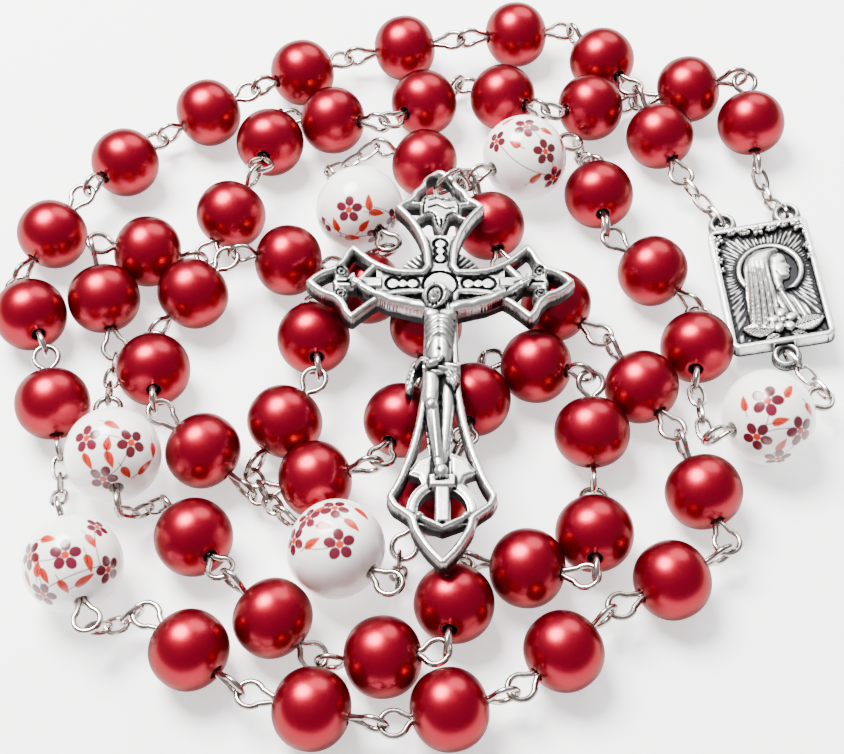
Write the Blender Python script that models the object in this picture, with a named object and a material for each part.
"""Five-decade rosary laid in a loose heap: 53 round beads and 6 larger beads on wire eye pins,
short chain runs, a centrepiece medal and a crucifix on a jump ring. Metres, +Z up, resting on z = 0.
"""

import math

import bmesh
import bpy
import numpy as np
from mathutils import Vector

MM = 0.001

# Driving dimensions, in millimetres.
BEAD_R, BEAD_HALF = 4.0, 3.75  # small bead: equator radius, half length along its bore
LARGE_R, LARGE_HALF = 5.0, 4.7  # large bead
BORE_R = 0.75
WIRE_R = 0.3  # eye pin wire
EYE_REACH = 3.35  # from the bead's face to where its eye bears on the next one
EYE_WIDE = 1.3  # half width of an eye, to the middle of its wire
EYE_START = 0.5  # gap between the bead's face and its eye
BITE = 0.2  # how far the middle of an eye's wire lies past the bearing point
LINK_PITCH, LINK_WIDE, END_LINK_WIDE, LINK_R = 2.3, 0.75, 1.05, 0.18
SLACK = 0.62  # how far a link that is free of its neighbour reaches back into it
CRUCIFIX_Z = 8.4  # underside of the crucifix, lying on the small beads
CRUCIFIX_THICK = 2.0
CRUCIFIX_AT = (2.0, 5.4)  # the crossing of its arms
RING_R, RING_WIRE_R = 1.85, 0.3
RING_ON_RIM = (1.05, 14.9, 1.0)  # middle of the jump ring, round the right slope of the top rim
RING_AXIS = (-0.6, 0.8, 0.18)
HANG_IN = 0.6  # how far inside the jump ring's wire the last link bears
MEDAL_AT, MEDAL_TURN, MEDAL_ROLL = (39.1, 10.4, 3.2), math.radians(4), math.radians(-10)
MEDAL_W, MEDAL_H, MEDAL_THICK = 11.4, 17.0, 1.6
EYELET_R, EYELET_WIRE_R = 1.3, 0.35
SETTLE_STEPS = 900
EYE_LOWEST, EYE_HIGHEST, LINK_LOWEST = 2.1, 6.3, 1.2
LINK_PLAY = 0.35
ROD_PLAY = 1.4  # how much shorter than its full length a rod may lie, its eyes sliding in the next ones

# Where each strand lies, as x, y and an optional height: eye, bead, eye, bead ... eye.
# The rosary runs medal, decade 1, large bead, decade 2 ... decade 5, medal.
DECADE_1 = [
    (29.5, 25.5), (28, 31.5), (26, 40.5, 2.2), (22.5, 47), (17.5, 51), (11.5, 49.5), (4, 48.5),
    (-2.5, 47), (-8.5, 44), (-15, 43), (-20.5, 40.5), (-25.5, 36), (-30, 32), (-35.5, 28),
    (-40, 25.5), (-41.5, 17.5), (-43, 12), (-42.5, 5.5), (-40.5, 0), (-38.5, -6), (-36.5, -11),
]
LARGE_1 = [(-37, -18), (-34.5, -26), (-30.5, -32.5)]
DECADE_2 = [
    (-26.5, -31), (-22.5, -35), (-17.5, -38.5), (-10.5, -41), (-3, -41.5), (2.5, -40.5),
    (8.5, -39.5), (13.5, -35), (18, -30.5), (25, -27.5), (31, -24), (29, -18), (27, -10),
    (23, -4.5), (19.5, 1), (14.5, 7), (10.5, 13), (7.5, 18.5), (5.5, 23), (0.5, 28),
    (-4, 30.5, 2),
]
LARGE_2 = [(-9.5, 26.5), (-7, 19), (-4, 13)]
DECADE_3 = [
    (-11.5, 13.5), (-15.5, 13), (-21, 13), (-26, 9), (-29.5, 4), (-29, -1.5), (-28, -7.5),
    (-23, -12), (-17, -13.5, 6), (-11, -15), (-5.5, -13.5), (-3, -8), (-1, -2), (2, 6),
    (-2, 9), (-6.5, 8.5), (-4, 4), (-10.5, 0), (-15.5, -0.5), (-16, -7), (-15.5, -13.5, 2),
]
LARGE_3 = [(-13.5, -21), (-7.5, -25), (-2, -27.5)]
DECADE_4 = [
    (-1, -23), (1, -17.5), (4, -12), (5.5, -6), (6.5, -0.5), (12, -2), (16.5, -4), (16, -10.5),
    (16.5, -16), (18, -21), (18.5, -26.5), (11, -26.5), (5.5, -24), (3.5, -29.5), (1.5, -34),
    (-4, -35), (-9, -35.5), (-14, -32), (-18.5, -27.5), (-23, -22.5), (-26, -18),
]
LARGE_4 = [(-30.5, -20.5), (-32, -13.5), (-34, -6)]
DECADE_5 = [
    (-34.5, 1.5), (-34.5, 7.5), (-35, 14), (-31, 16.5), (-27, 19), (-22.5, 20), (-19, 23),
    (-19, 30), (-17, 36), (-11, 33.5), (-5, 31.5, 6), (0, 38), (5, 43.5), (10.5, 39),
    (15, 36.5), (20, 37), (26, 39.5, 6.5), (32.5, 40), (38, 41.5), (39.5, 34.5), (41, 28.5),
]
PENDANT_LARGE = [(42.5, -6), (36.5, -9), (29.5, -12)]
PENDANT_SMALL = [(28, -6), (29.5, 1.5), (30, 9), (26, 11), (21, 16.5), (20.5, 23.5), (19, 27.5)]
PENDANT_LAST = [(17, 29), (12, 28), (7.5, 24.5)]

LOOP = [DECADE_1, LARGE_1, DECADE_2, LARGE_2, DECADE_3, LARGE_3, DECADE_4, LARGE_4, DECADE_5]
PENDANT = [PENDANT_LARGE, PENDANT_SMALL, PENDANT_LAST]
# Small beads pinned under the crucifix, which can't turn: they are one piece with their wire.
PINNED = {(2, 8), (2, 9), (2, 10), (3, 6), (3, 7), (3, 8), (4, 1), (4, 2)}
LINKS_IN_RUN = 3

# Outlines of the crucifix, right half, from the crossing: x, y.
TOP_ARM = [
    (1.7, 2.0), (1.8, 4.4), (2.9, 6.4), (5.1, 9.6), (3.6, 11.2), (2.4, 12.6), (1.9, 14.4), (0.8, 16.0),
]
TOP_TIP = (0.0, 16.2)
TOP_OPENING = [(-1.2, 11.6), (1.2, 11.6), (1.0, 13.8), (0.3, 15.1), (-0.3, 15.1), (-1.0, 13.8)]
SIDE_ARM = [(4.6, 1.7), (6.4, 2.8), (9.1, 5.2), (10.7, 3.6), (11.5, 2.1), (12.9, 1.6)]
SIDE_TIP = (14.6, 0.0)
SHAFT = [(2.0, -2.2), (2.2, -8.0), (3.4, -19.2), (5.8, -27.4), (4.0, -29.6), (2.3, -31.6)]
SHAFT_TIP = (0.0, -35.0)
NIMBUS_R = 4.9

RED = (0.52, 0.01, 0.03, 1)
WHITE = (0.9, 0.88, 0.86, 1)
STEEL = (0.72, 0.70, 0.69, 1)
SILVER = (0.80, 0.80, 0.79, 1)


def clear_scene():
    for obj in list(bpy.data.objects):
        bpy.data.objects.remove(obj, do_unlink=True)


def material(name, color, roughness, metallic):
    made = bpy.data.materials.new(name)
    made.use_nodes = True
    shader = made.node_tree.nodes["Principled BSDF"]
    shader.inputs["Base Color"].default_value = color
    shader.inputs["Roughness"].default_value = roughness
    shader.inputs["Metallic"].default_value = metallic
    return made


def mesh_object(name, points, faces, kind):
    """An object from points in millimetres, with its normals made to point outwards."""
    mesh = bpy.data.meshes.new(name)
    mesh.from_pydata([tuple(float(c) * MM for c in p) for p in points], [], faces)
    work = bmesh.new()
    work.from_mesh(mesh)
    bmesh.ops.recalc_face_normals(work, faces=work.faces)
    work.to_mesh(mesh)
    work.free()
    mesh.materials.append(kind)
    mesh.shade_smooth()
    mesh.set_sharp_from_angle(angle=math.radians(40))
    obj = bpy.data.objects.new(name, mesh)
    bpy.context.scene.collection.objects.link(obj)
    return obj


def unit(v):
    return v / np.linalg.norm(v)


def grid_faces(rows, columns):
    """Quads of a grid that closes on itself both ways."""
    return [
        (r * columns + c, r * columns + (c + 1) % columns,
         (r + 1) % rows * columns + (c + 1) % columns, (r + 1) % rows * columns + c)
        for r in range(rows) for c in range(columns)
    ]


def ring_shell(path, normal, wire, sides=3):
    """A closed wire ring along path, whose cross-section has a corner facing its middle."""
    path = np.asarray(path, float)
    middle = path.mean(axis=0)
    points = []
    for p in path:
        out = p - middle
        out = unit(out - normal * (out @ normal))
        for s in range(sides):
            a = 2 * math.pi * s / sides
            points.append(p + wire * (math.cos(a) * out + math.sin(a) * normal))
    return points, grid_faces(len(path), sides)


def rod_shell(a, b, wire, sides=3):
    """A straight wire from a to b with flat ends."""
    along = unit(b - a)
    side = unit(np.cross(along, (0.3, 0.2, 1.0)))
    other = np.cross(along, side)
    ring = [wire * (math.cos(2 * math.pi * s / sides) * side + math.sin(2 * math.pi * s / sides) * other)
            for s in range(sides)]
    points = [a + r for r in ring] + [b + r for r in ring]
    faces = [(s, (s + 1) % sides, sides + (s + 1) % sides, sides + s) for s in range(sides)]
    faces += [tuple(range(sides)), tuple(range(2 * sides - 1, sides - 1, -1))]
    return points, faces


def eye_path(face, along, side, reach, steps=6):
    """The teardrop of an eye: x runs from EYE_START to reach, and it is widest past its middle."""
    span = reach - EYE_START
    path = []
    for k in range(steps):
        a = 2 * math.pi * (k + 0.5) / steps
        x = EYE_START + span * (1 - math.cos(a)) / 2
        y = EYE_WIDE * math.sin(a) * (0.6 + 0.4 * (x - EYE_START) / span)
        path.append(face + along * x + side * y)
    return path


def link_path(a, b, side, wide, steps=5):
    """An oval link whose ends bear at a and b, BITE past them."""
    along = unit(b - a)
    middle, half = (a + b) / 2, np.linalg.norm(b - a) / 2 + BITE
    return [middle + along * half * math.cos(2 * math.pi * k / steps)
            + side * wide * math.sin(2 * math.pi * k / steps) for k in range(steps)]


def bead_shell(centre, along, radius, half, bored, steps=9):
    """An oblate bead turned about its bore: r = radius cos(t), x = half sin(t)."""
    side = unit(np.cross(along, (0.3, 0.2, 1.0)))
    other = np.cross(along, side)
    start = math.acos(BORE_R / radius)
    angles = np.linspace(-start, start, 5)
    rows = [(radius * math.cos(t), half * math.sin(t)) for t in angles]
    points = [centre + along * x + r * (math.cos(2 * math.pi * s / steps) * side
              + math.sin(2 * math.pi * s / steps) * other) for r, x in rows for s in range(steps)]
    faces = grid_faces(len(rows), steps)
    if not bored:
        last = (len(rows) - 1) * steps
        faces = faces[:last] + [tuple(range(steps)), tuple(range(last + steps - 1, last - 1, -1))]
    return points, faces


class Rope:
    """A run of strands as points: eyes and chain points in order, with the bead on each rod."""

    def __init__(self, start, strands, end, links_at_end):
        self.points, self.radii, self.rods, self.links = [], [], [], []
        self._add(start, 0.9)
        for number, strand in enumerate(strands):
            eyes, beads = strand[0::2], strand[1::2]
            self._run(eyes[0], LINKS_IN_RUN)
            for k, bead in enumerate(beads):
                self._add(eyes[k + 1], 1.4)
                large = len(beads) == 1
                self.rods.append((len(self.points) - 2, bead, large, number, k + 1))
        self._run(end, links_at_end)
        self.fixed = [0, len(self.points) - 1]

    def _add(self, place, radius):
        z = place[2] if len(place) > 2 else 4.0
        self.points.append((place[0], place[1], z))
        self.radii.append(radius)

    def _run(self, place, count):
        """Chain links from the last point to place."""
        first = np.array(self.points[-1])
        last = np.array((place[0], place[1], place[2] if len(place) > 2 else 4.0))
        for k in range(1, count):
            mid = first + (last - first) * k / count
            self._add((mid[0], mid[1], 3.0), 0.9)
        self._add(tuple(last), 1.5)
        self.links += list(range(len(self.points) - 1 - count, len(self.points) - 1))


def rod_length(large):
    return 2 * ((LARGE_HALF if large else BEAD_HALF) + EYE_REACH)


def settle(ropes):
    """Moves the eyes until every rod has its length, no bead lies in another and none is under the floor."""
    points = np.array([p for rope in ropes for p in rope.points], float)
    radii = np.array([r for rope in ropes for r in rope.radii])
    offsets = np.cumsum([0] + [len(rope.points) for rope in ropes])
    rods = [(o + r[0], r) for rope, o in zip(ropes, offsets) for r in rope.rods]
    first = np.array([a for a, _ in rods])
    lengths = np.array([rod_length(r[2]) for _, r in rods])
    sizes = np.array([LARGE_R if r[2] else BEAD_R for _, r in rods])
    targets = np.array([(r[1][0], r[1][1], s) for (_, r), s in zip(rods, sizes)])
    links = np.array([o + k for rope, o in zip(ropes, offsets) for k in rope.links])
    free = np.ones(len(points))
    for rope, o in zip(ropes, offsets):
        free[[o + k for k in rope.fixed]] = 0
    ceiling = np.full(len(points), EYE_HIGHEST)
    ceiling[len(points) - 3:] = CRUCIFIX_Z + CRUCIFIX_THICK / 2
    count = len(rods)
    for step in range(SETTLE_STEPS):
        pull = 0.3 if step < SETTLE_STEPS * 0.8 else 0.05
        mids = (points[first] + points[first + 1]) / 2
        shift = (targets - mids) * pull
        np.add.at(points, first, shift)
        np.add.at(points, first + 1, shift)
        # beads, eyes and chain points keep clear of each other
        mids = (points[first] + points[first + 1]) / 2
        balls = np.concatenate([mids, points])
        size = np.concatenate([sizes + 0.2, radii])
        apart = balls[:, None] - balls[None]
        dist = np.linalg.norm(apart, axis=2) + np.eye(len(balls)) * 99
        short = np.maximum(size[:, None] + size[None] - dist, 0)
        for k in range(count):
            short[k, count + first[k]] = short[count + first[k], k] = 0
            short[k, count + first[k] + 1] = short[count + first[k] + 1, k] = 0
        near = np.abs(np.arange(len(points))[:, None] - np.arange(len(points))[None]) <= 1
        short[count:, count:][near] = 0
        push = (apart / dist[..., None] * short[..., None]).sum(axis=1) * 0.3
        points += push[count:]
        np.add.at(points, first, push[:count])
        np.add.at(points, first + 1, push[:count])
        mids = (points[first] + points[first + 1]) / 2
        lift = np.zeros_like(mids)
        lift[:, 2] = sizes - mids[:, 2]
        np.add.at(points, first, lift)
        np.add.at(points, first + 1, lift)
        points[:, 2] = np.clip(points[:, 2], np.where(radii > 1, EYE_LOWEST, LINK_LOWEST), ceiling)
        # rods keep their length, and links are never stretched
        for _ in range(4):
            for index, length, play in ((first, lengths, ROD_PLAY), (links, LINK_PITCH, LINK_PLAY)):
                span = points[index + 1] - points[index]
                now = np.linalg.norm(span, axis=1)
                wrong = now - np.clip(now, length - play, length)
                move = span / now[:, None] * wrong[:, None]
                share = free[index] + free[index + 1]
                np.add.at(points, index, move * (free[index] / share)[:, None] * 0.8)
                np.add.at(points, index + 1, -move * (free[index + 1] / share)[:, None] * 0.8)
        for rope, o in zip(ropes, offsets):
            for k in rope.fixed:
                points[o + k] = rope.points[k]
    for rope, o in zip(ropes, offsets):
        rope.points = points[o:o + len(rope.points)]


def sides_of(along, flat):
    """The direction across an eye or a link that lies flat or stands."""
    level = unit(np.cross(along, (0.0, 0.0, 1.0)))
    return level if flat else np.cross(level, along)


def union(name, shells, kind):
    """One closed body from shells that run into each other."""
    points, faces = [], []
    for p, f in shells[1:]:
        faces += [tuple(k + len(points) for k in face) for face in f]
        points += list(p)
    body = mesh_object(name, points, faces, kind)
    cutter = mesh_object(name + "_first", *shells[0], kind)
    cutter.hide_render = True
    cutter.display_type = "WIRE"
    join = body.modifiers.new("Join", "BOOLEAN")
    join.operation = "UNION"
    join.object = cutter
    join.use_self = True
    return body


class Parts:
    """Counts the beads and collects what the strands are made of."""

    def __init__(self):
        self.red = material("pearl_red", RED, 0.25, 0.5)
        self.white = material("glazed_white", WHITE, 0.2, 0.0)
        self.steel = material("steel_wire", STEEL, 0.25, 1.0)
        self.silver = material("antique_silver", SILVER, 0.35, 1.0)
        self.small = self.large = 0

    def bead(self, centre, along, large):
        if large:
            self.large += 1
            name, kind = f"our_father_bead_{self.large}", self.white
            radius, half = LARGE_R, LARGE_HALF
        else:
            self.small += 1
            name, kind = f"hail_mary_bead_{self.small:02d}", self.red
            radius, half = BEAD_R, BEAD_HALF
        points, faces = bead_shell(np.zeros(3), along, radius, half, True)
        obj = mesh_object(name, points, faces, kind)
        obj.location = Vector(centre) * MM


def build_rope(parts, rope, wires, pinned):
    """The beads and wires of a rope. wires are (name, last strand number on that wire)."""
    shells, flat, wire = {name: [] for name, _ in wires}, False, 0
    rods = {r[0]: r for r in rope.rods}
    chain = set(rope.links)
    fresh = True
    for k in range(len(rope.points) - 1):
        a, b = rope.points[k], rope.points[k + 1]
        along = unit(b - a)
        if k in chain:
            start = a - along * (SLACK if fresh and k > 0 else 0)
            side = sides_of(along, flat)
            wide = END_LINK_WIDE if fresh or k + 2 == len(rope.points) else LINK_WIDE
            shells[wires[wire][0]].append(
                ring_shell(link_path(start, b, side, wide), np.cross(along, side), LINK_R))
            flat, fresh = not flat, False
            continue
        _, _, large, number, place = rods[k]
        half = LARGE_HALF if large else BEAD_HALF
        centre = (a + b) / 2
        reach = np.linalg.norm(b - a) / 2 - half + BITE
        mine = shells[wires[wire][0]]
        for sign in (-1, 1):
            side = sides_of(along, flat)
            path = eye_path(centre + along * sign * half, along * sign, side, reach)
            mine.append(ring_shell(path, np.cross(along, side), WIRE_R))
            flat = not flat
        mine.append(rod_shell(centre - along * (half + EYE_START + 0.1),
                              centre + along * (half + EYE_START + 0.1), WIRE_R))
        if (number, place) in pinned:
            mine.append(bead_shell(centre, along, BEAD_R, BEAD_HALF, False))
        else:
            parts.bead(centre, along, large)
        strand_done = number == wires[wire][1] and k + 1 in chain
        if strand_done and wire + 1 < len(wires):
            wire, fresh = wire + 1, True
    for name, made in shells.items():
        union(name, made, parts.steel)


def mirrored(right, tip, axis):
    """An arm's outline, from its right half and its tip."""
    left = [(-x, y) if axis == "y" else (x, -y) for x, y in reversed(right)]
    return right + [tip] + left


def crucifix_outline():
    top = mirrored(TOP_ARM, TOP_TIP, "y")
    east = mirrored(SIDE_ARM, SIDE_TIP, "x")
    shaft = mirrored(SHAFT, SHAFT_TIP, "y")
    west = [(-x, -y) for x, y in east]
    # round the cross from the right of the top arm, clockwise
    return list(reversed(top)) + east + shaft + west


def plate_shell(outline, low, high):
    n = len(outline)
    points = [(x, y, low) for x, y in outline] + [(x, y, high) for x, y in outline]
    faces = [tuple(range(n)), tuple(range(2 * n - 1, n - 1, -1))]
    faces += [(k, (k + 1) % n, n + (k + 1) % n, n + k) for k in range(n)]
    return points, faces


def disc(radius, centre=(0, 0), steps=20):
    return [(centre[0] + radius * math.cos(2 * math.pi * k / steps),
             centre[1] + radius * math.sin(2 * math.pi * k / steps)) for k in range(steps)]


def ball_shell(centre, size, turn=0.0, rows=6, steps=8):
    """An ellipsoid with half sizes size, turned about z, closed by two caps."""
    c, s = math.cos(turn), math.sin(turn)
    points = []
    for i in range(rows):
        t = math.pi * (i + 0.5) / rows - math.pi / 2
        for k in range(steps):
            a = 2 * math.pi * k / steps
            x = size[0] * math.cos(t) * math.cos(a)
            y = size[1] * math.cos(t) * math.sin(a)
            z = size[2] * math.sin(t)
            points.append((centre[0] + c * x - s * y, centre[1] + s * x + c * y, centre[2] + z))
    last = (rows - 1) * steps
    faces = grid_faces(rows, steps)[:last]
    faces += [tuple(range(steps)), tuple(range(last + steps - 1, last - 1, -1))]
    return points, faces


def build_crucifix(parts):
    """The cast cross and its figure, one piece, with the opening in the top arm for the ring."""
    z = CRUCIFIX_THICK
    figure = [
        ball_shell((-0.4, -1.4, z + 0.9), (1.05, 1.35, 1.0)),
        ball_shell((-0.3, -6.2, z + 0.1), (1.7, 4.2, 1.4)),
        ball_shell((-0.3, -10.6, z + 0.2), (1.9, 1.6, 1.3)),
        ball_shell((0.1, -15.5, z + 0.1), (1.4, 4.8, 1.2)),
        ball_shell((0.0, -21.0, z + 0.0), (1.1, 3.8, 1.0)),
        ball_shell((4.6, -1.2, z), (4.6, 0.7, 0.8), math.radians(18)),
        ball_shell((-4.9, -1.2, z), (4.6, 0.7, 0.8), math.radians(-18)),
    ]
    shells = [plate_shell(crucifix_outline(), 0, z), plate_shell(disc(NIMBUS_R), 0.3, z - 0.3)]
    body = union("crucifix", shells + figure, parts.silver)
    points, faces = plate_shell(TOP_OPENING, -1, z + 2)
    hole = mesh_object("crucifix_top_opening", points, faces, parts.silver)
    hole.hide_render = True
    hole.display_type = "WIRE"
    cut = body.modifiers.new("Opening", "BOOLEAN")
    cut.operation = "DIFFERENCE"
    cut.object = hole
    place = Vector((CRUCIFIX_AT[0], CRUCIFIX_AT[1], CRUCIFIX_Z)) * MM
    for obj in (body, bpy.data.objects["crucifix_first"], hole):
        obj.location = place


def ring_frame():
    """Middle of the jump ring, its axis, and the direction in which the chain pulls it."""
    middle = np.array((CRUCIFIX_AT[0], CRUCIFIX_AT[1], CRUCIFIX_Z)) + RING_ON_RIM
    axis = unit(np.array(RING_AXIS))
    return middle, axis, unit(np.cross(axis, (0.0, 0.0, 1.0)))


def build_ring(parts):
    middle, axis, pull = ring_frame()
    other = np.cross(axis, pull)
    path = [RING_R * (math.cos(2 * math.pi * k / 16) * pull + math.sin(2 * math.pi * k / 16) * other)
            for k in range(16)]
    points, faces = ring_shell(path, axis, RING_WIRE_R, 6)
    obj = mesh_object("crucifix_jump_ring", points, faces, parts.steel)
    obj.location = Vector(middle) * MM


def medal_point(x, y, z=0.0):
    """A point of the medal, from its middle, in the heap."""
    c, s = math.cos(MEDAL_ROLL), math.sin(MEDAL_ROLL)
    x, z = c * x + s * z, -s * x + c * z
    c, s = math.cos(MEDAL_TURN), math.sin(MEDAL_TURN)
    return np.array((MEDAL_AT[0] + c * x - s * y, MEDAL_AT[1] + s * x + c * y, MEDAL_AT[2] + z))


def eyelet_places():
    top, low = MEDAL_H / 2 + EYELET_R - 0.1, -MEDAL_H / 2 - EYELET_R + 0.1
    return [medal_point(-MEDAL_W / 2 + 2.0, top), medal_point(MEDAL_W / 2 - 2.0, top), medal_point(0, low)]


def build_medal(parts):
    """The rectangular medal with its two top eyelets and one below, one piece."""
    w, h, r = MEDAL_W / 2, MEDAL_H / 2, 0.9
    outline = []
    for cx, cy, start in ((w - r, h - r, 0), (-w + r, h - r, 90), (-w + r, -h + r, 180), (w - r, -h + r, 270)):
        outline += [(cx + r * math.cos(math.radians(start + a)), cy + r * math.sin(math.radians(start + a)))
                    for a in (0, 45, 90)]
    plate, faces = plate_shell(outline, -MEDAL_THICK / 2, MEDAL_THICK / 2)
    shells = [([medal_point(*p) for p in plate], faces)]
    normal = medal_point(0, 0, 1) - medal_point(0, 0)
    one, two = medal_point(1, 0) - medal_point(0, 0), medal_point(0, 1) - medal_point(0, 0)
    for place in eyelet_places():
        path = [place + EYELET_R * (math.cos(math.pi * k / 5) * one + math.sin(math.pi * k / 5) * two)
                for k in range(10)]
        shells.append(ring_shell(path, normal, EYELET_WIRE_R))
    union("centrepiece_medal", shells, parts.silver)


def stand_on_origin():
    """Moves everything so that the middle of the object's footprint is at x = 0, y = 0."""
    bpy.context.view_layer.update()
    graph = bpy.context.evaluated_depsgraph_get()
    corners = []
    for obj in bpy.data.objects:
        if obj.hide_render or obj.type != "MESH":
            continue
        ready = obj.evaluated_get(graph)
        mesh = ready.to_mesh()
        here = np.empty(len(mesh.vertices) * 3)
        mesh.vertices.foreach_get("co", here)
        ready.to_mesh_clear()
        turn = np.array(obj.matrix_world)
        corners.append(here.reshape(-1, 3) @ turn[:3, :3].T + turn[:3, 3])
    spread = np.concatenate(corners)
    low, high = spread.min(axis=0), spread.max(axis=0)
    move = Vector((-(low[0] + high[0]) / 2, -(low[1] + high[1]) / 2, -low[2]))
    for obj in bpy.data.objects:
        obj.location += move


def main():
    clear_scene()
    parts = Parts()
    left, right, low = eyelet_places()
    middle, _, pull = ring_frame()
    hang = middle + (RING_R - HANG_IN) * pull
    loop = Rope(tuple(left), LOOP, tuple(right), LINKS_IN_RUN + 1)
    pendant = Rope(tuple(low), PENDANT, tuple(hang), LINKS_IN_RUN)
    settle([loop, pendant])
    wires = [(f"decade_{n + 1}_wire", min(2 * n + 1, 8)) for n in range(5)]
    pinned = {(2 * decade - 2, place) for decade, place in PINNED}
    build_rope(parts, loop, wires, pinned)
    build_rope(parts, pendant, [("pendant_wire", 9)], set())
    build_crucifix(parts)
    build_ring(parts)
    build_medal(parts)
    stand_on_origin()


main()
